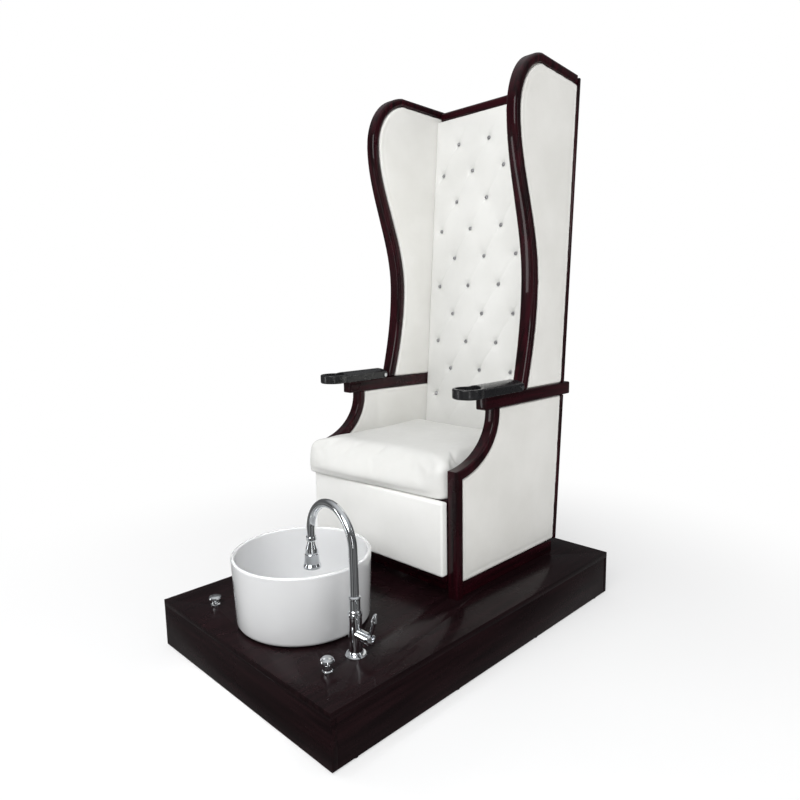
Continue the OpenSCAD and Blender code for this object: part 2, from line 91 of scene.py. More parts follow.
def cad_bmesh(node):
    """A welded copy of a CAD node's mesh, its flat faces joined into whole polygons."""
    source = frame["nodes"][node].data
    bm = bmesh.new()
    vertices = [bm.verts.new(v.co) for v in source.vertices]
    for polygon in source.polygons:
        try:
            bm.faces.new([vertices[i] for i in polygon.vertices])
        except ValueError:
            pass
    bmesh.ops.remove_doubles(bm, verts=bm.verts, dist=5e-6)
    bmesh.ops.dissolve_limit(bm, angle_limit=math.radians(0.5), verts=bm.verts, edges=bm.edges)
    bmesh.ops.recalc_face_normals(bm, faces=bm.faces)
    return bm


def apply_modifiers(piece):
    """Turns a piece's modifiers into plain mesh."""
    graph = bpy.context.evaluated_depsgraph_get()
    data = bpy.data.meshes.new_from_object(piece.evaluated_get(graph))
    piece.modifiers.clear()
    piece.data = data
    return piece


def dress(piece, body, slot, material, *replaced):
    """Gives a piece its body, its material and the CAD nodes that it stands for."""
    piece.data.materials.clear()
    piece.data.materials.append(material)
    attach(piece, body)
    if replaced:
        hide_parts(*replaced)
    return piece


def centre(node):
    low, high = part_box(node)
    return (low + high) / 2


def smoothstep(value, start, end):
    t = np.clip((value - start) / (end - start), 0.0, 1.0)
    return t * t * (3.0 - 2.0 * t)


def lathe(name, outline, place, segments=160):
    """A turned piece from a closed outline of (radius, height) points."""
    vertices = [(place[0] + r * math.cos(a), place[1] + r * math.sin(a), place[2] + z)
                for a in (2 * math.pi * i / segments for i in range(segments))
                for r, z in outline]
    count = len(outline)
    faces = []
    for i in range(segments):
        near = i * count
        far = (i + 1) % segments * count
        for j in range(count):
            k = (j + 1) % count
            faces.append((near + j, far + j, far + k, near + k))
    return mesh_piece(name, vertices, faces, 35)


def rounding(centre_r, centre_z, radius, start, end, steps):
    """Points of a rounded corner of an outline, from angle start to end in degrees."""
    turns = [math.radians(start + (end - start) * i / steps) for i in range(steps + 1)]
    return [(centre_r + radius * math.cos(a), centre_z + radius * math.sin(a)) for a in turns]


# ---- materials ------------------------------------------------------------------------

class Shader:
    """Builds one procedural material, node by node."""

    def __init__(self, name):
        self.material = bpy.data.materials.new(name)
        self.material.use_nodes = True
        self.tree = self.material.node_tree
        self.bsdf = self.tree.nodes["Principled BSDF"]
        self.place = self.tree.nodes.new("ShaderNodeTexCoord")

    def set(self, **values):
        for key, value in values.items():
            self.bsdf.inputs[key.replace("_", " ")].default_value = value
        return self

    def node(self, kind, **settings):
        made = self.tree.nodes.new(kind)
        for key, value in settings.items():
            setattr(made, key, value)
        return made

    def join(self, source, target):
        self.tree.links.new(source, target)

    def scaled(self, scale):
        mapping = self.node("ShaderNodeMapping")
        mapping.inputs["Scale"].default_value = scale
        self.join(self.place.outputs["Object"], mapping.inputs["Vector"])
        return mapping.outputs["Vector"]

    def noise(self, scale, detail=4.0, stretch=(1, 1, 1), roughness=0.55):
        made = self.node("ShaderNodeTexNoise")
        made.inputs["Scale"].default_value = scale
        made.inputs["Detail"].default_value = detail
        made.inputs["Roughness"].default_value = roughness
        self.join(self.scaled(stretch), made.inputs["Vector"])
        return made.outputs["Fac"]

    def cells(self, scale):
        made = self.node("ShaderNodeTexVoronoi")
        made.inputs["Scale"].default_value = scale
        self.join(self.place.outputs["Object"], made.inputs["Vector"])
        return made.outputs["Distance"]

    def ramp(self, source, low, high, start=0.3, end=0.7):
        """Maps a 0..1 value to a mix of two colours, or of two greys."""
        made = self.node("ShaderNodeValToRGB")
        stops = made.color_ramp.elements
        stops[0].position, stops[1].position = start, end
        stops[0].color = (*low, 1) if hasattr(low, "__len__") else (low, low, low, 1)
        stops[1].color = (*high, 1) if hasattr(high, "__len__") else (high, high, high, 1)
        self.join(source, made.inputs["Fac"])
        return made.outputs["Color"]

    def colour(self, source):
        self.join(source, self.bsdf.inputs["Base Color"])
        return self

    def rough(self, source):
        self.join(source, self.bsdf.inputs["Roughness"])
        return self

    def bump(self, *layers):
        """Each layer is (height source, depth in metres)."""
        below = None
        for source, depth in layers:
            made = self.node("ShaderNodeBump")
            made.inputs["Strength"].default_value = 1.0
            made.inputs["Distance"].default_value = depth
            self.join(source, made.inputs["Height"])
            if below is not None:
                self.join(below, made.inputs["Normal"])
            below = made.outputs["Normal"]
        self.join(below, self.bsdf.inputs["Normal"])
        return self


def lacquered_wood(name, dark, warm, grain_axis, streaks=1.0, coat=0.38):
    """Stained wood under clear lacquer, its grain along one axis."""
    stretch = [1.0, 1.0, 1.0]
    stretch["XYZ".index(grain_axis)] = 0.06
    s = Shader(name).set(Coat_Weight=coat, Coat_Roughness=0.03, Coat_IOR=1.5, IOR=1.3,
                         Specular_IOR_Level=0.2)
    grain = s.noise(55.0, 8.0, stretch, 0.62)
    s.colour(s.ramp(grain, dark, warm, 0.38, 0.38 + 0.3 * streaks))
    s.rough(s.ramp(s.noise(9.0), 0.22, 0.34))
    return s.bump((s.noise(7.0, 2.0), 0.0002), (grain, 0.00004)).material


def leather(name, low, high, roughness=(0.40, 0.52)):
    """White faux leather: pebbled grain, faint soiling and an uneven sheen."""
    s = Shader(name).set(Sheen_Weight=0.08, Sheen_Roughness=0.4, Specular_IOR_Level=0.42)
    s.colour(s.ramp(s.noise(6.0, 5.0), low, high, 0.35, 0.65))
    s.rough(s.ramp(s.noise(38.0, 3.0), *roughness))
    return s.bump((s.noise(11.0, 3.0), 0.0009), (s.cells(760.0), 0.00022),
                  (s.noise(1700.0, 2.0), 0.00006)).material


def metal(name, low, high, roughness=(0.04, 0.10), scratches=0.00002):
    s = Shader(name).set(Metallic=1.0)
    s.colour(s.ramp(s.noise(14.0, 3.0), low, high))
    s.rough(s.ramp(s.noise(90.0, 5.0), *roughness))
    return s.bump((s.noise(260.0, 2.0), scratches)).material


def plastic(name, low, high, roughness, coat=0.0, grain=0.00003, grain_scale=900.0):
    s = Shader(name).set(Coat_Weight=coat, Coat_Roughness=0.05)
    s.colour(s.ramp(s.noise(20.0, 4.0), low, high))
    s.rough(s.ramp(s.noise(60.0, 4.0), *roughness))
    return s.bump((s.noise(grain_scale, 2.0), grain)).material


def glazed(name):
    s = Shader(name).set(Coat_Weight=1.0, Coat_Roughness=0.02, Specular_IOR_Level=0.5)
    s.colour(s.ramp(s.noise(5.0, 3.0), (0.56, 0.565, 0.57), (0.60, 0.605, 0.61)))
    s.rough(s.ramp(s.noise(30.0, 3.0), 0.14, 0.22))
    return s.bump((s.noise(16.0, 2.0), 0.0003)).material


def bare_wood(name):
    s = Shader(name).set(Specular_IOR_Level=0.3)
    s.colour(s.ramp(s.noise(40.0, 8.0, (1.0, 1.0, 0.08)), (0.50, 0.33, 0.17), (0.66, 0.47, 0.27)))
    s.rough(s.ramp(s.noise(80.0), 0.55, 0.72))
    return s.bump((s.noise(70.0, 6.0, (1.0, 1.0, 0.08)), 0.0002)).material


def crystal(name):
    s = Shader(name).set(Metallic=0.35, Specular_IOR_Level=0.8, IOR=1.8, Coat_Weight=0.6,
                         Coat_Roughness=0.02)
    s.colour(s.ramp(s.noise(300.0, 2.0), (0.17, 0.17, 0.175), (0.40, 0.40, 0.41)))
    s.rough(s.ramp(s.noise(400.0, 2.0), 0.02, 0.06))
    return s.material


MAHOGANY_DARK, MAHOGANY_WARM = (0.0058, 0.0014, 0.0020), (0.028, 0.0027, 0.0058)
DECK_DARK, DECK_WARM = (0.0050, 0.0022, 0.0027), (0.0135, 0.0050, 0.0062)
mahogany = {axis: lacquered_wood(f"lacquered_mahogany_{axis}", MAHOGANY_DARK, MAHOGANY_WARM, axis)
            for axis in "XYZ"}
deck_wood = {axis: lacquered_wood(f"black_lacquer_{axis}", DECK_DARK, DECK_WARM, axis, 1.3, 0.10)
             for axis in "XY"}
# White faux leather in five copies for different parts; their base colours differ only as painted
# light and shade, each copy made lighter or darker for how much light its parts catch.
white_leather = leather("white_faux_leather", (0.67, 0.67, 0.648), (0.72, 0.72, 0.70))
# Seat cushion's copy, darker: painted shade against the strong light on the cushion's top.
seat_leather_painted_shade = leather("seat_faux_leather_painted_shade", (0.645, 0.645, 0.623), (0.69, 0.69, 0.67))
# Apron's copy, lighter: painted light where the basin and deck shade the apron.
apron_leather_painted_light = leather("apron_faux_leather_painted_light", (0.79, 0.79, 0.766), (0.84, 0.84, 0.82))
# Outer side panels' copy, darker: painted shade.
side_leather_painted_shade = leather("side_faux_leather_painted_shade", (0.665, 0.658, 0.625), (0.715, 0.708, 0.678))
# Inner side panels' copy, lighter: painted light where the near arm and wing shade them.
inner_leather_painted_light = leather("inner_faux_leather_painted_light", (0.745, 0.74, 0.708), (0.795, 0.79, 0.762))
chrome = metal("chrome", (0.70, 0.72, 0.74), (0.82, 0.84, 0.86))
zinc = metal("zinc_plated_steel", (0.42, 0.43, 0.45), (0.58, 0.59, 0.61), (0.24, 0.4), 0.00005)
brass = metal("machined_brass", (0.56, 0.38, 0.12), (0.68, 0.48, 0.18), (0.2, 0.34), 0.00005)
ceramic = glazed("white_glaze")
black_plastic = plastic("black_gloss_plastic", (0.006, 0.006, 0.007), (0.012, 0.012, 0.013),
                        (0.24, 0.34), 0.2, 0.00004, 300.0)
grey_plastic = plastic("grey_pipe_plastic", (0.20, 0.21, 0.22), (0.27, 0.28, 0.29), (0.4, 0.55))
rubber = plastic("black_rubber", (0.012, 0.012, 0.012), (0.024, 0.024, 0.024), (0.6, 0.78), 0.0,
                 0.00012)
pine = bare_wood("softwood")
lining = plastic("lining_cloth", (0.56, 0.55, 0.51), (0.64, 0.63, 0.59), (0.8, 0.92), 0.0, 0.0003)
gem = crystal("cut_crystal")


# ---- chair and platform woodwork ------------------------------------------------------

HARD_EDGE = math.radians(28)          # edges at least this sharp are rounded


def rounded_copy(node, name, radius, material, slot, segments, only=None):
    """Replaces a CAD node by a copy whose hard edges, or those that only picks, are rounded."""
    bm = cad_bmesh(node)
    sharp = [e for e in bm.edges if len(e.link_faces) == 2
             and e.calc_face_angle(0) > HARD_EDGE and (only is None or only(e))]
    bmesh.ops.bevel(bm, geom=sharp, offset=radius, segments=segments, profile=0.5,
                    affect="EDGES", clamp_overlap=True)
    piece = piece_from_bmesh(name, bm, 30)
    return dress(piece, "base", slot, material, node)


def along_outline(node, crisp_ends=True):
    """Picks a frame member's long edges, between its side faces and its outline.

    With crisp_ends, the edges across its lower and upper ends are left out.
    """
    low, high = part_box(node)

    def picked(edge):
        middle = (edge.verts[0].co + edge.verts[1].co) / 2
        direction = (edge.verts[0].co - edge.verts[1].co).normalized()
        if abs(direction.x) > 0.5:
            return False
        at_end = min(middle.z - low.z, high.z - middle.z) < 0.2 * MM
        return not (crisp_ends and at_end and abs(direction.z) < 0.5)
    return picked


for side in ("right", "left"):
    rounded_copy(f"{side}_arm_post", f"{side}_front_post", 7 * MM, mahogany["Z"],
                 "gloss_mahogany", 5, along_outline(f"{side}_arm_post"))
    rounded_copy(f"{side}_wing_frame", f"{side}_wing_moulding", 12 * MM, mahogany["Z"],
                 "gloss_mahogany", 6, along_outline(f"{side}_wing_frame", False))
    rounded_copy(f"{side}_arm_rail", f"{side}_arm_rest", 5 * MM, mahogany["Y"],
                 "gloss_mahogany", 4)
rounded_copy("crest_rail", "crest_moulding", 11 * MM, mahogany["X"], "gloss_mahogany", 6)
rounded_copy("chair_plinth", "plinth", 2 * MM, mahogany["Y"], "gloss_mahogany", 2)
rounded_copy("back_board", "rear_board", 2 * MM, mahogany["Z"], "gloss_mahogany", 2)
for node, axis in (("platform_deck", "Y"), ("platform_front_board", "X"),
                   ("platform_back_board", "X"), ("platform_left_board", "Y"),
                   ("platform_right_board", "Y")):
    rounded_copy(node, f"{node}_lacquered", 0.8 * MM, deck_wood[axis], "gloss_lacquer_black", 2)


# ---- plain CAD nodes that keep their own mesh -----------------------------------------

# The seat's box and deck show from below and through the gap under the cushion; they wear the
# frame's dark lacquer as painted shade, so that there they read as shadow.
KEPT = {
    pine: ("platform_joists", "back_frame"),
    lining: ("side_core_boards",),
    # dark lacquer here is painted shade in the gaps round the apron
    mahogany["X"]: ("seat_box", "seat_deck"),
    rubber: ("platform_glides", "hose_grommet", "basin_gasket", "drain_cable", "spray_face",
             "spray_hose"),
    grey_plastic: ("drain_locknut", "drain_trap"),
    brass: ("control_locknuts", "faucet_locknut", "faucet_inlets"),
    zinc: ("chair_bolts", "tray_hinge_lugs"),
    chrome: ("drain_flange", "drain_stopper", "drain_knob", "drain_knob_escutcheon",
             "air_button", "air_button_bezel", "faucet_flange", "faucet_body",
             "faucet_spout", "spray_head", "handle_dome", "tray_pins"),
}
for material, nodes in KEPT.items():
    for node in nodes:
        data = frame["nodes"][node].data
        data.materials.clear()
        data.materials.append(material)


# ---- foot basin -----------------------------------------------------------------------

def foot_basin():
    """A round white basin with a soft rim, a slight taper and a dished floor."""
    low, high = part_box("basin")
    height = high.z - low.z
    rim = (high.x - low.x) / 2
    wall, foot, floor_at = 11 * MM, rim - 7 * MM, 14 * MM
    heel, lip, cove, drain = 13 * MM, 5.5 * MM, 30 * MM, 24 * MM
    outline = ([(drain, 0.0)] + rounding(foot - heel, heel, heel, -90, 0, 10)
               + rounding(rim - lip, height - lip, lip, 0, 180, 16)
               + rounding(foot - wall - cove, floor_at + cove, cove, 0, -90, 14)
               + [(90 * MM, floor_at - 0.8 * MM), (34 * MM, floor_at - 3 * MM),
                  (33 * MM, floor_at - 5 * MM), (drain, floor_at - 5 * MM)])
    middle = centre("basin")
    piece = lathe("foot_basin", outline, (middle.x, middle.y, low.z))
    dress(piece, "base", "white_ceramic", ceramic, "basin")


foot_basin()


# ---- faucet lever ---------------------------------------------------------------------

LEVER_PIVOT = (0.335, -0.433, 0.212)
LEVER_GROWTH = 0.3                    # the rod is this much stouter than its CAD solid
GROWS_FROM, GROWN_AT = 20 * MM, 34 * MM          # along the rod, once it is clear of the hub


def faucet_lever():
    """The lever, its rod a little stouter than its CAD solid."""
    bm = cad_bmesh("handle_lever")
    pivot = Vector(LEVER_PIVOT)
    tip = max((v.co for v in bm.verts), key=lambda co: (co - pivot).length)
    axis = (tip - pivot).normalized()
    for v in bm.verts:
        along = (v.co - pivot).dot(axis)
        foot = pivot + axis * along
        grown = 1 + LEVER_GROWTH * float(smoothstep(along, GROWS_FROM, GROWN_AT))
        v.co = foot + (v.co - foot) * grown
    dress(piece_from_bmesh("faucet_lever", bm, 35), "lever", "chrome", chrome, "handle_lever")


faucet_lever()


# ---- upholstery: shared steps ---------------------------------------------------------

def remeshed(piece, voxel):
    """Rebuilds a closed piece from an even net of small faces."""
    step = piece.modifiers.new("net", "REMESH")
    step.mode = "VOXEL"
    step.voxel_size = voxel
    return apply_modifiers(piece)


def relaxed(piece, rounds, factor=0.5):
    step = piece.modifiers.new("relax", "SMOOTH")
    step.iterations = rounds
    step.factor = factor
    return apply_modifiers(piece)


def points(piece):
    data = np.empty(len(piece.data.vertices) * 3)
    piece.data.vertices.foreach_get("co", data)
    return data.reshape(-1, 3)


def normals(piece):
    return np.array([v.normal[:] for v in piece.data.vertices])


def put_points(piece, places):
    piece.data.vertices.foreach_set("co", np.ascontiguousarray(places).ravel())
    piece.data.update()
    return piece


def unevenness(places, size, seed):
    """Smooth noise from -1 to 1 at each place, with lumps about size across."""
    offset = Vector((seed * 7.13, seed * 3.71, seed * 1.93))
    return np.array([noise.noise(Vector(p) / size + offset) for p in places])


def undulated(piece, depth, size, seed):
    """Adds the slight unevenness of hand-pulled upholstery."""
    places = points(piece)
    waves = unevenness(places, size, seed)[:, None]
    return put_points(piece, places + normals(piece) * waves * depth)


# ---- moulded trays --------------------------------------------------------------------

TRAY_NET = 1.5 * MM
PIN_ROOM = 0.25 * MM                  # room left round the hinge pin


def clear_of_pin(places):
    """Opens the hinge bore again where the coarser net has closed it on the pin."""
    low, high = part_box("tray_pins")
    axis = np.array([(low.y + high.y) / 2, (low.z + high.z) / 2])
    bore = (high.z - low.z) / 2 + PIN_ROOM
    across = places[:, 1:] - axis
    reach = np.maximum(np.linalg.norm(across, axis=1, keepdims=True), 0.01 * MM)
    places[:, 1:] = axis + across * np.maximum(1.0, bore / reach)
    return places


def cup_tray(side):
    """The glossy moulded tray and cup ring, all its edges softly rounded."""
    piece = remeshed(piece_from_bmesh(f"{side}_cup_tray", cad_bmesh(f"{side}_tray")), TRAY_NET)
    relaxed(piece, 4)
    put_points(piece, clear_of_pin(points(piece)))
    finish_shading(piece.data, 60)
    dress(piece, f"tray_{side}", "gloss_black_plastic", black_plastic, f"{side}_tray")


cup_tray("right")
cup_tray("left")


# ---- padded side panels ---------------------------------------------------------------

PANEL_EDGE = 4.5 * MM
PANEL_NET = 5 * MM
SEAM_IN, SEAM_DEPTH, SEAM_WIDTH = 17 * MM, 1.3 * MM, 3.2 * MM    # line sewn inside the edge


def edge_distance(places, outline):
    """Distance of every place to the nearest outline segment, seen from the side."""
    flat = places[:, 1:]
    nearest = np.full(len(flat), 1.0)
    for start, end in outline:
        along = end - start
        share = np.clip((flat - start) @ along / max(along @ along, 1e-12), 0, 1)
        nearest = np.minimum(nearest, np.linalg.norm(flat - start - share[:, None] * along, axis=1))
    return nearest


def side_panel(node, outward, seed, material):
    """A tight padded panel with rolled edges on its visible face, outward = +1 or -1 in X."""
    bm = cad_bmesh(node)
    bm.normal_update()

    def on_show(face):
        return face.normal.x * outward > 0.9

    rim = [e for e in bm.edges if len(e.link_faces) == 2
           and on_show(e.link_faces[0]) != on_show(e.link_faces[1])]
    outline = [(np.array(e.verts[0].co[1:]), np.array(e.verts[1].co[1:])) for e in rim]
    bmesh.ops.bevel(bm, geom=rim, offset=PANEL_EDGE, segments=4, profile=0.5,
                    affect="EDGES", clamp_overlap=True)
    bmesh.ops.triangulate(bm, faces=bm.faces)
    piece = remeshed(piece_from_bmesh(f"{node}_upholstery", bm), PANEL_NET)
    relaxed(piece, 4)
    places = points(piece)
    shown = np.abs(normals(piece)[:, 0] * outward - 1) < 0.3
    places[shown, 0] -= outward * SEAM_DEPTH * np.exp(
        -((edge_distance(places[shown], outline) - SEAM_IN) / SEAM_WIDTH) ** 2)
    put_points(piece, places)
    undulated(piece, 0.7 * MM, 0.13, seed)
    finish_shading(piece.data, 60)
    dress(piece, "base", "white_leather", material, node)


seed = 1
# Outer panels take the darker leather copy (painted shade), inner panels the lighter one (painted
# light).
for side, away in (("right", 1), ("left", -1)):
    for part in ("arm", "wing"):
        side_panel(f"{side}_outer_{part}_panel", away, seed, side_leather_painted_shade)
        side_panel(f"{side}_inner_{part}_panel", -away, seed + 1, inner_leather_painted_light)
        seed += 2


# ---- seat cushion and apron -----------------------------------------------------------

SIM_FRAMES = 20


def inflated(piece, cap, held_below):
    """Blows a closed shape up as cloth, then limits how far any point has moved.

    Points under the height held_below stay where they are, flat on what carries them.
    """
    before = points(piece)
    held = piece.vertex_groups.new(name="held")
    held.add([int(i) for i in np.nonzero(before[:, 2] < held_below)[0]], 1.0, "REPLACE")
    step = piece.modifiers.new("cloth", "CLOTH")
    cloth = step.settings
    cloth.quality = 6
    cloth.mass = 0.4
    cloth.tension_stiffness = 22
    cloth.compression_stiffness = 22
    cloth.shear_stiffness = 12
    cloth.bending_stiffness = 2.5
    cloth.use_pressure = True
    cloth.uniform_pressure_force = 4.0
    cloth.effector_weights.gravity = 0.0
    cloth.vertex_group_mass = "held"
    step.collision_settings.use_self_collision = False
    scene_now = bpy.context.scene
    scene_now.frame_start, scene_now.frame_end = 1, SIM_FRAMES
    step.point_cache.frame_start, step.point_cache.frame_end = 1, SIM_FRAMES
    for number in range(1, SIM_FRAMES + 1):
        scene_now.frame_set(number)
    apply_modifiers(piece)
    piece.vertex_groups.clear()
    moved = points(piece) - before
    length = np.maximum(np.linalg.norm(moved, axis=1, keepdims=True), 1e-9)
    put_points(piece, before + moved * np.minimum(1.0, cap / length))
    scene_now.frame_set(1)
    return relaxed(piece, 6)


def block(name, low, high, inset, edge, foot_edge, round_back=True):
    """A rounded box drawn in by inset (per axis) on every side but its underside.

    edge rounds the upright and upper edges, foot_edge the ones round the underside.
    """
    low = Vector((low.x + inset[0], low.y + inset[1], low.z))
    high = Vector((high.x - inset[0], high.y - inset[1], high.z - inset[2]))
    bm = bmesh.new()
    bmesh.ops.create_cube(bm, size=1.0)
    for v in bm.verts:
        v.co = Vector([low[i] + (v.co[i] + 0.5) * (high[i] - low[i]) for i in range(3)])
    upper = [e for e in bm.edges if max(v.co.z for v in e.verts) > high.z - MM
             and (round_back or min(v.co.y for v in e.verts) < high.y - MM)]
    bmesh.ops.bevel(bm, geom=upper, offset=edge, segments=6, profile=0.5, affect="EDGES",
                    clamp_overlap=True)
    foot = [e for e in bm.edges if max(v.co.z for v in e.verts) < low.z + MM
            and min(v.co.y for v in e.verts) < high.y - MM]
    bmesh.ops.bevel(bm, geom=foot, offset=foot_edge, segments=4, profile=0.5, affect="EDGES",
                    clamp_overlap=True)
    return piece_from_bmesh(name, bm)


TURN_Y, TURN = 255 * MM, 0.13         # from here back the inner side faces turn inward
SEAT_NET, SEAT_SWELL = 6 * MM, 22 * MM           # net, and the most the cloth may swell
SEAT_EDGE, SEAT_FOOT_EDGE = 38 * MM, 9 * MM      # rounding before it swells
SEAT_CROWN = 5 * MM
SKEW = 29 * MM                        # the cushion's front stands further out on the left
POST_LAP = 26 * MM                    # and laps this far over the left post
APRON_NET, APRON_EDGE = 4 * MM, 4 * MM
APRON_LAP = 4 * MM                    # the apron laps this far over the front posts


def keep_between_sides(places, low, high, spare):
    """Keeps points clear of the two side frames, which close in towards the back."""
    turned = np.maximum(places[:, 1] - TURN_Y, 0.0) * TURN
    places[:, 0] = np.clip(places[:, 0], low.x + spare + turned, high.x - spare - turned)
    return places


def seat_cushion():
    """The thick seat cushion: crowned top, bulging front, boxed sides held by the arms."""
    low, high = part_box("seat_cushion")
    inset = (2 * MM, 6 * MM, 9 * MM)
    shape = block("seat_cushion_leather", low, high, inset, SEAT_EDGE, SEAT_FOOT_EDGE)
    piece = remeshed(shape, SEAT_NET)
    inflated(piece, SEAT_SWELL, low.z + 6 * MM)
    places = points(piece)
    middle, half = (low + high) / 2, (high - low) / 2
    across = np.clip(1 - ((places[:, 0] - middle.x) / half.x) ** 4, 0, 1)
    along = np.clip(1 - ((places[:, 1] - middle.y) / half.y) ** 4, 0, 1)
    up = smoothstep(places[:, 2], middle.z, high.z - 12 * MM)
    places[:, 2] += SEAT_CROWN * across * along * up
    flatten_from, headroom = high.z - 14 * MM, 20 * MM
    over = places[:, 2] > flatten_from
    places[over, 2] = flatten_from + headroom * np.tanh(
        (places[over, 2] - flatten_from) / headroom)
    ahead = smoothstep(-places[:, 1], -middle.y, -low.y)
    places[:, 1] += SKEW * ahead * (places[:, 0] - middle.x) / half.x
    places = keep_between_sides(places, low, high, 0.4 * MM)
    before_post = smoothstep(-places[:, 1], 30 * MM, 62 * MM)
    on_left = smoothstep(-places[:, 0], -middle.x + 0.5 * half.x, -low.x)
    places[:, 0] -= POST_LAP * before_post * on_left
    places[:, 1] = np.clip(places[:, 1], low.y - 40 * MM, high.y)
    places[:, 2] = np.maximum(places[:, 2], low.z + 0.2 * MM)
    places = seat_seams(places, low, high)
    put_points(piece, places)
    undulated(piece, 1.1 * MM, 0.10, 31)
    step = piece.modifiers.new("finer", "SUBSURF")
    step.levels = 1
    apply_modifiers(piece)
    finish_shading(piece.data, 60)
    # The cushion takes the darker leather copy: painted shade.
    dress(piece, "base", "white_leather", seat_leather_painted_shade, "seat_cushion")


def seat_seams(places, low, high):
    """Sinks the boxing seam round the lower front edge and the folds at both front corners."""
    x, y, z = places.T
    front = smoothstep(-y, -low.y - 60 * MM, -low.y - 10 * MM)
    seam = np.exp(-((z - low.z - 15 * MM) / (6 * MM)) ** 2)
    places[:, 1] += 2.6 * MM * seam * front
    for edge, inward in ((low.x, 1), (high.x, -1)):
        fold = np.exp(-((x - edge - inward * 9 * MM) / (4.5 * MM)) ** 2)
        reach = smoothstep(z, low.z, low.z + 30 * MM) * smoothstep(-z, -high.z + 5 * MM,
                                                                   -high.z + 45 * MM)
        places[:, 1] += 1.2 * MM * fold * reach * front
    return places


def front_panel():
    """The padded apron under the cushion, rolled at its edges."""
    low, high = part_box("seat_front_panel")
    inset = (-APRON_LAP, 0.0, -2 * MM)
    shape = block("seat_apron_leather", low, high, inset, APRON_EDGE, APRON_EDGE, False)
    piece = remeshed(shape, APRON_NET)
    relaxed(piece, 2)
    places = points(piece)
    middle, half = (low + high) / 2, (high - low) / 2
    crown = (np.clip(1 - ((places[:, 0] - middle.x) / half.x) ** 6, 0, 1)
             * np.clip(1 - ((places[:, 2] - middle.z) / half.z) ** 4, 0, 1))
    ahead = smoothstep(-places[:, 1], -middle.y, -low.y)
    places[:, 1] -= (4 * MM * crown - 5 * MM * (places[:, 0] - high.x) / half.x) * ahead
    pull = unevenness(places * np.array([1.0, 0.2, 0.3]), 0.05, 17)
    places[:, 1] -= 1.0 * MM * pull * ahead
    places[:, 0] = np.clip(places[:, 0], low.x - APRON_LAP, high.x + APRON_LAP)
    put_points(piece, places)
    finish_shading(piece.data, 60)
    # The apron takes the lighter leather copy: painted light.
    dress(piece, "base", "white_leather", apron_leather_painted_light, "seat_front_panel")


seat_cushion()
front_panel()


# ---- buttoned back --------------------------------------------------------------------

RECLINE = math.radians(3.86)          # the back leans from upright
BACK_FOOT = Vector((0, 528 * MM, 198 * MM))      # foot of the back's rear face
BUTTON_X, BUTTON_Z = 143.3 * MM, 107.5 * MM      # pitch across, and between rows
TOP_ROW = 1447 * MM                   # first row, measured up the back
ROWS = 10
PAD_FACE = 62 * MM                    # pad's face ahead of the back's rear face
PAD_BACK = 32.3 * MM
PAD_NET = 4 * MM
PAD_ROLL = 8 * MM                     # rounding of the pad's outer edges
DIMPLE, DIMPLE_WIDTH = 10 * MM, 18 * MM
DOME = 1.5 * MM                       # swell of each diamond between the folds
PUCKER = 0.5 * MM                     # small gathers round each button
PLEAT, CROSS_PLEAT = 2.9 * MM, 0.5 * MM          # depth of the folds that lean each way


def on_back(x, ahead, up):
    """A place on the leaning back: ahead of its rear face and up from its foot."""
    return Vector((x, BACK_FOOT.y + up * math.sin(RECLINE) - ahead * math.cos(RECLINE),
                   BACK_FOOT.z + up * math.cos(RECLINE) + ahead * math.sin(RECLINE)))


def button_places(middle):
    """Diamond grid: rows of three and four in turn, as (x, up)."""
    return [(middle + i * BUTTON_X, TOP_ROW - row * BUTTON_Z)
            for row in range(ROWS)
            for i in ((-1, 0, 1) if row % 2 == 0 else (-1.5, -0.5, 0.5, 1.5))]


def tufting(x, up, middle):
    """Height of the buttoned face over the flat pad, at arrays of places."""
    across = (x - middle) / (BUTTON_X / 2)
    rows = (up - TOP_ROW) / BUTTON_Z
    p, q = (across + rows) / 2, (across - rows) / 2
    lowest = TOP_ROW - (ROWS - 1) * BUTTON_Z
    inside = (smoothstep(up, lowest - 130 * MM, lowest - 20 * MM)
              * smoothstep(-up, -TOP_ROW - 85 * MM, -TOP_ROW - 10 * MM))
    swell_p, swell_q = np.sin(math.pi * p) ** 2, np.abs(np.sin(math.pi * q))
    dome = (DOME * np.sqrt(swell_q) + DOME * swell_p * swell_q) * inside
    spacing = BUTTON_X * BUTTON_Z / math.hypot(BUTTON_X / 2, BUTTON_Z)
    line_q = np.abs(q - np.round(q)) * spacing
    line_p = np.abs(p - np.round(p)) * spacing
    near_q = 0.5 + 0.5 * np.cos(2 * math.pi * p)
    near_p = 0.5 + 0.5 * np.cos(2 * math.pi * q)
    drape = 0.5 + 0.5 * unevenness(np.stack([x, up, 0 * x], 1), 0.21, 9)
    pleats = (PLEAT * np.exp(-(line_q / (4 * MM)) ** 2) * (0.35 + 0.65 * near_q) * drape * 1.5
              + CROSS_PLEAT * np.exp(-(line_p / (6 * MM)) ** 2) * near_p)
    height = dome - pleats * (0.15 + 0.85 * inside)
    for bx, bz in button_places(middle):
        r = np.hypot(x - bx, up - bz)
        turn = np.arctan2(up - bz, x - bx)
        ring = np.exp(-((r - 15 * MM) / (8 * MM)) ** 2)
        height += (PUCKER * np.cos(7 * turn + bx * 40) * ring
                   - DIMPLE * np.exp(-(r / DIMPLE_WIDTH) ** 1.35))
    return height


def pad_half_width(up, ahead):
    """Half the pad's width where it lies between the side faces, less a hair of room."""
    low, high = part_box("seat_box")
    y = BACK_FOOT.y + up * math.sin(RECLINE) - ahead * math.cos(RECLINE)
    return (high.x - low.x) / 2 - 0.1 * MM - np.maximum(y - TURN_Y, 0.0) * TURN


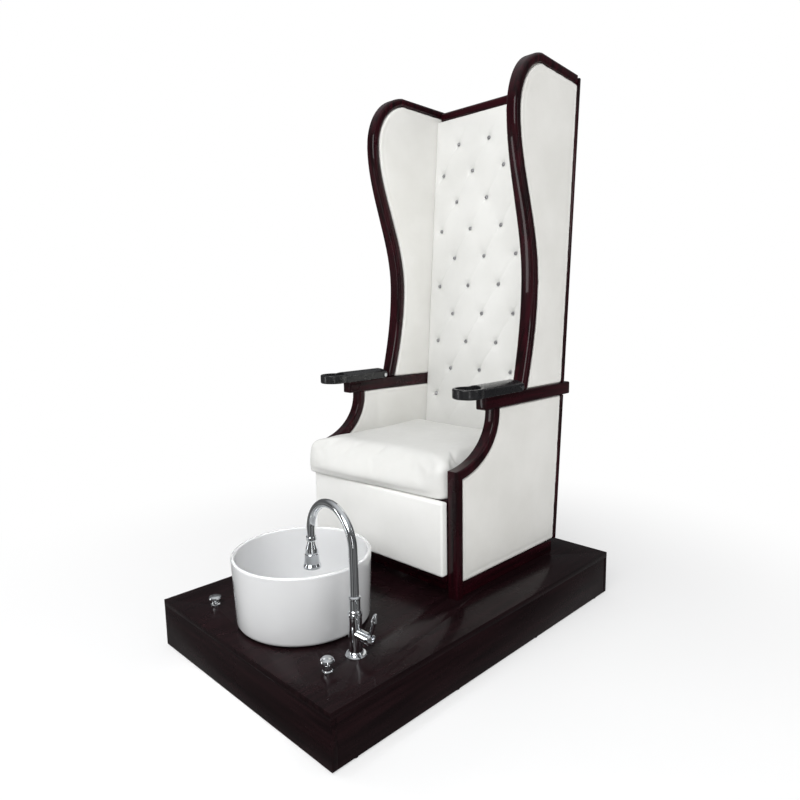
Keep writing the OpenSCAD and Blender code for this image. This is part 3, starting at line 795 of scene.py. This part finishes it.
def net_faces(rows, columns):
    """Quads of a net whose points run row by row."""
    corners = [j * columns + i for j in range(rows - 1) for i in range(columns - 1)]
    return [(at, at + 1, at + 1 + columns, at + columns) for at in corners]


def net_rim(rows, columns):
    """Points round the outside of such a net, in order."""
    return (list(range(columns))
            + [j * columns + columns - 1 for j in range(1, rows)]
            + [(rows - 1) * columns + i for i in range(columns - 2, -1, -1)]
            + [j * columns for j in range(rows - 2, 0, -1)])


def back_pad():
    """The tall buttoned pad as one closed form with rolled edges."""
    low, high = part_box("back_pad")
    middle = centre("seat_box").x
    bottom = (low.z + 5 * MM - BACK_FOOT.z) / math.cos(RECLINE) - PAD_FACE * math.sin(RECLINE)
    bottom = max(bottom, 262 * MM)
    top = (high.z - BACK_FOOT.z - PAD_FACE * math.sin(RECLINE)) / math.cos(RECLINE)
    rows = int((top - bottom) / PAD_NET)
    columns = int(2 * pad_half_width(bottom, PAD_FACE) / PAD_NET)
    up = np.repeat(np.linspace(bottom, top, rows), columns)
    share = np.tile(np.linspace(-1, 1, columns), rows)
    half = pad_half_width(up, PAD_FACE)
    x = middle + share * half
    height = tufting(x, up, middle)
    from_edge = np.minimum(np.minimum(half - np.abs(x - middle), up - bottom), top - up)
    inner = np.clip(PAD_ROLL - from_edge, 0.0, PAD_ROLL)
    fall = PAD_ROLL - np.sqrt(PAD_ROLL ** 2 - inner ** 2)
    height = height * smoothstep(from_edge, 0.0, 22 * MM) - fall
    height += 0.7 * MM * unevenness(np.stack([x, up, 0 * x], 1), 0.12, 5)
    vertices = [on_back(a, PAD_FACE + h, b) for a, h, b in zip(x, height, up)]
    faces = net_faces(rows, columns)
    rim = net_rim(rows, columns)
    first = len(vertices)
    for index in rim:
        behind = pad_half_width(up[index], PAD_BACK)
        vertices.append(on_back(middle + share[index] * behind, PAD_BACK, up[index]))
    for k, index in enumerate(rim):
        after = (k + 1) % len(rim)
        faces.append((rim[after], index, first + k, first + after))
    faces.append(tuple(range(first + len(rim) - 1, first - 1, -1)))
    piece = mesh_piece("buttoned_back", vertices, faces, 60)
    dress(piece, "base", "white_leather", white_leather, "back_pad")


def faceted(bm, place, rings, sides):
    """Adds a cut stone: rings of (radius, ahead) from its base to its table."""
    loops = []
    for k, (radius, ahead) in enumerate(rings):
        shift = 0.5 * (k % 2)
        loops.append([bm.verts.new(on_back(
            place[0] + radius * math.cos(2 * math.pi * (i + shift) / sides), PAD_FACE + ahead,
            place[1] + radius * math.sin(2 * math.pi * (i + shift) / sides)))
            for i in range(sides)])
    for k in range(len(loops) - 1):
        a, b = loops[k], loops[k + 1]
        for i in range(sides):
            j = (i + 1) % sides
            if k % 2 == 0:
                bm.faces.new((a[i], a[j], b[i]))
                bm.faces.new((b[i], a[j], b[j]))
            else:
                bm.faces.new((a[i], b[j], b[i]))
                bm.faces.new((a[i], a[j], b[j]))
    bm.faces.new(loops[-1])
    bm.faces.new(loops[0][::-1])


def crystal_buttons():
    """Cut-glass buttons in bright bezels, one at the bottom of every dimple."""
    middle = centre("seat_box").x
    stones, bezels = bmesh.new(), bmesh.new()
    for place in button_places(middle):
        faceted(stones, place, [(6.2 * MM, -8 * MM), (6.3 * MM, -5 * MM),
                                (5.2 * MM, -3 * MM), (3.3 * MM, -1.8 * MM)], 8)
        faceted(bezels, place, [(6.4 * MM, -11 * MM), (7.8 * MM, -8.5 * MM),
                                (7.8 * MM, -6.8 * MM), (6.7 * MM, -5.8 * MM)], 24)
    for bm in (stones, bezels):
        bmesh.ops.recalc_face_normals(bm, faces=bm.faces)
    dress(piece_from_bmesh("crystal_button_stones", stones, 5), "base", "crystal", gem,
          "tuft_buttons")
    dress(piece_from_bmesh("crystal_button_bezels", bezels, 40), "base", "chrome", zinc)


back_pad()
crystal_buttons()


# ---- stage, light and camera ----------------------------------------------------------

FLOOR_RADIUS = 14.0
FADE_FROM, FADE_TO, FADE_START = 0.6, 2.0, 0.45  # distances, and how white it is at the first


def floor():
    """A pale studio floor that fades to the white of the background."""
    bm = bmesh.new()
    bmesh.ops.create_circle(bm, cap_ends=True, segments=96, radius=FLOOR_RADIUS)
    piece = piece_from_bmesh("studio_floor", bm)
    s = Shader("studio_floor_paint").set(Roughness=0.6, Specular_IOR_Level=0.15)
    s.set(Base_Color=(0.90, 0.90, 0.90, 1))
    reach = s.node("ShaderNodeVectorMath", operation="LENGTH")
    s.join(s.place.outputs["Object"], reach.inputs[0])
    fade = s.node("ShaderNodeMapRange", interpolation_type="SMOOTHSTEP")
    fade.inputs["From Min"].default_value = FADE_FROM
    fade.inputs["From Max"].default_value = FADE_TO
    fade.inputs["To Min"].default_value = FADE_START
    s.join(reach.outputs["Value"], fade.inputs["Value"])
    glow = s.node("ShaderNodeEmission")
    glow.inputs["Strength"].default_value = 1.0
    mix = s.node("ShaderNodeMixShader")
    s.join(fade.outputs["Result"], mix.inputs["Fac"])
    s.join(s.bsdf.outputs["BSDF"], mix.inputs[1])
    s.join(glow.outputs["Emission"], mix.inputs[2])
    s.join(mix.outputs["Shader"], s.tree.nodes["Material Output"].inputs["Surface"])
    piece.data.materials.append(s.material)
    piece.visible_glossy = False


SCREENS = ((0.0, 0.22), (0.10, 0.05), (0.24, 0.30), (0.36, 0.04), (0.50, 0.08), (0.60, 0.24),
           (0.70, 0.05), (0.84, 0.20), (1.0, 0.06))     # grey screens round the foot of the room


MIX_FACTOR, MIX_A, MIX_B, MIX_COLOUR = 0, 6, 7, 2          # a colour Mix node's sockets


def world():
    """White to the camera; a dim studio with a bright ceiling to everything else."""
    made = bpy.data.worlds.new("studio")
    bpy.context.scene.world = made
    made.use_nodes = True
    tree = made.node_tree
    back = tree.nodes["Background"]
    back.inputs["Strength"].default_value = 1.0
    place = tree.nodes.new("ShaderNodeTexCoord")
    split = tree.nodes.new("ShaderNodeSeparateXYZ")
    ramp = tree.nodes.new("ShaderNodeValToRGB")
    ramp.color_ramp.elements[0].position = 0.45
    ramp.color_ramp.elements[0].color = (0.11, 0.11, 0.113, 1)
    ramp.color_ramp.elements[1].position = 0.95
    ramp.color_ramp.elements[1].color = (0.62, 0.63, 0.64, 1)
    path = tree.nodes.new("ShaderNodeLightPath")
    mix = tree.nodes.new("ShaderNodeMix")
    mix.data_type = "RGBA"
    mix.inputs[MIX_B].default_value = (1, 1, 1, 1)
    tree.links.new(place.outputs["Generated"], split.inputs["Vector"])
    tree.links.new(split.outputs["Z"], ramp.inputs["Fac"])
    tree.links.new(path.outputs["Is Camera Ray"], mix.inputs[MIX_FACTOR])
    round_room = tree.nodes.new("ShaderNodeMath")
    round_room.operation = "MULTIPLY_ADD"
    round_room.inputs[1].default_value = 0.36
    round_room.inputs[2].default_value = 0.5
    across = tree.nodes.new("ShaderNodeMath")
    across.operation = "ADD"
    tree.links.new(split.outputs["X"], across.inputs[0])
    tree.links.new(split.outputs["Y"], across.inputs[1])
    tree.links.new(across.outputs[0], round_room.inputs[0])
    screens = tree.nodes.new("ShaderNodeValToRGB")
    stops = screens.color_ramp.elements
    stops[0].position, stops[0].color = SCREENS[0][0], (*[SCREENS[0][1]] * 3, 1)
    stops[1].position, stops[1].color = SCREENS[-1][0], (*[SCREENS[-1][1]] * 3, 1)
    for position, grey in SCREENS[1:-1]:
        stops.new(position).color = (grey, grey, grey, 1)
    tree.links.new(round_room.outputs[0], screens.inputs["Fac"])
    low = tree.nodes.new("ShaderNodeMapRange")
    low.inputs["From Min"].default_value = 0.1
    low.inputs["From Max"].default_value = -0.02
    tree.links.new(split.outputs["Z"], low.inputs["Value"])
    room = tree.nodes.new("ShaderNodeMix")
    room.data_type = "RGBA"
    tree.links.new(low.outputs["Result"], room.inputs[MIX_FACTOR])
    tree.links.new(ramp.outputs["Color"], room.inputs[MIX_A])
    tree.links.new(screens.outputs["Color"], room.inputs[MIX_B])
    tree.links.new(room.outputs[MIX_COLOUR], mix.inputs[MIX_A])
    tree.links.new(mix.outputs[MIX_COLOUR], back.inputs["Color"])


def softbox(name, place, target, size, power, mirrored=True, spread=180):
    """An area light; only the mirrored ones show as highlights. A grid narrows its spread."""
    light = bpy.data.lights.new(name, "AREA")
    light.shape = "RECTANGLE"
    light.size, light.size_y = size
    light.energy = power
    light.spread = math.radians(spread)
    lamp = link(bpy.data.objects.new(name, light))
    lamp.visible_camera = False
    lamp.visible_glossy = mirrored
    lamp.location = place
    lamp.rotation_euler = (Vector(target) - Vector(place)).to_track_quat("-Z", "Y").to_euler()


CAMERA_PLACE = (1.468, -1.443, 1.051)
CAMERA_TURN = (45.43, 8.54, -1.108)   # azimuth, elevation and roll, in degrees
CAMERA_LENS, CAMERA_SHIFT = 29.04, (0.0056, -0.0012)


def camera():
    """The view: from the front right, a little above the seat."""
    azimuth, elevation, roll = (math.radians(a) for a in CAMERA_TURN)
    back = Vector((math.sin(azimuth) * math.cos(elevation),
                   -math.cos(azimuth) * math.cos(elevation), math.sin(elevation)))
    right = (-back).cross(Vector((0, 0, 1))).normalized()
    up = right.cross(-back)
    turned_right = right * math.cos(roll) + up * math.sin(roll)
    turned_up = up * math.cos(roll) - right * math.sin(roll)
    data = bpy.data.cameras.new("camera")
    data.sensor_width = 36.0
    data.lens = CAMERA_LENS
    data.shift_x, data.shift_y = CAMERA_SHIFT
    seen = link(bpy.data.objects.new("camera", data))
    turn = Matrix((turned_right, turned_up, back)).transposed().to_4x4()
    seen.matrix_world = Matrix.Translation(CAMERA_PLACE) @ turn
    bpy.context.scene.camera = seen


floor()
world()
softbox("key", (1.1, -3.5, 2.8), (0, 0, 0.8), (2.4, 2.0), 72)
softbox("side", (3.5, -0.1, 1.3), (0, 0.2, 0.9), (2.0, 2.0), 33, False)
softbox("left", (-3.0, -1.8, 1.9), (0, 0, 0.8), (1.8, 1.8), 30, False)
softbox("fill", (2.2, -2.6, 3.4), (-0.2, 0.2, 0.9), (1.6, 1.6), 44, False)
softbox("front", (0.8, -3.2, 1.1), (-0.06, 0.3, 0.7), (1.8, 1.2), 5, False)
softbox("bowl", (0.0, -0.75, 1.7), (0.007, -0.395, 0.2), (0.3, 0.3), 0.85, False, 30)
softbox("top", (0.1, -0.8, 4.2), (0, -0.3, 0), (2.4, 2.4), 32, False)
softbox("right_edge", (3.4, 0.9, 1.6), (0.2, 0.3, 1.2), (0.25, 2.4), 6)
softbox("left_strip", (-1.9, -2.9, 0.5), (0, -0.4, 0.4), (0.35, 1.8), 9)
softbox("right_strip", (3.2, -2.4, 0.6), (0.2, -0.4, 0.4), (0.35, 1.8), 6)
camera()
bpy.context.scene.view_settings.view_transform = "Standard"
